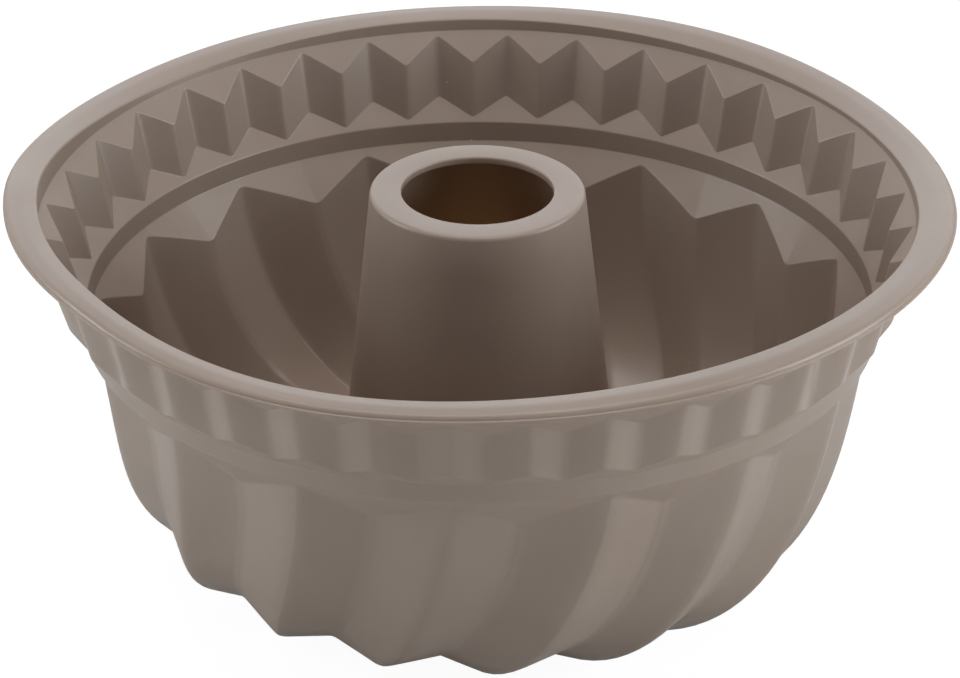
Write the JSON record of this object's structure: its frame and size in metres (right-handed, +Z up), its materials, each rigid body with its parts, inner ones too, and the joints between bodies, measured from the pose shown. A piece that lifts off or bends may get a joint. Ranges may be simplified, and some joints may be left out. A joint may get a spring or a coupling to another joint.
{
  "type": "ring cake mould",
  "caption": "Flexible silicone ring-cake mould: flat rim flange, pleated collar, swirling fluted bowl and a hollow centre tube, so that batter fills a ring-shaped trough.",
  "frame": {"origin": "centre of the base, on the plane that the mould stands on", "axes": "+Z up along the centre tube, -Y towards the viewer of the picture, +X to the viewer's right"},
  "size_m": [0.24, 0.24, 0.1016],
  "materials": {
    "silicone": "satin taupe silicone"
  },
  "bodies": {
    "root": {"rim_flange": "silicone", "pleated_collar": "silicone", "step_band": "silicone", "fluted_bowl": "silicone", "centre_tube": "silicone", "tube_lip": "silicone"}
  },
  "joints": []
}
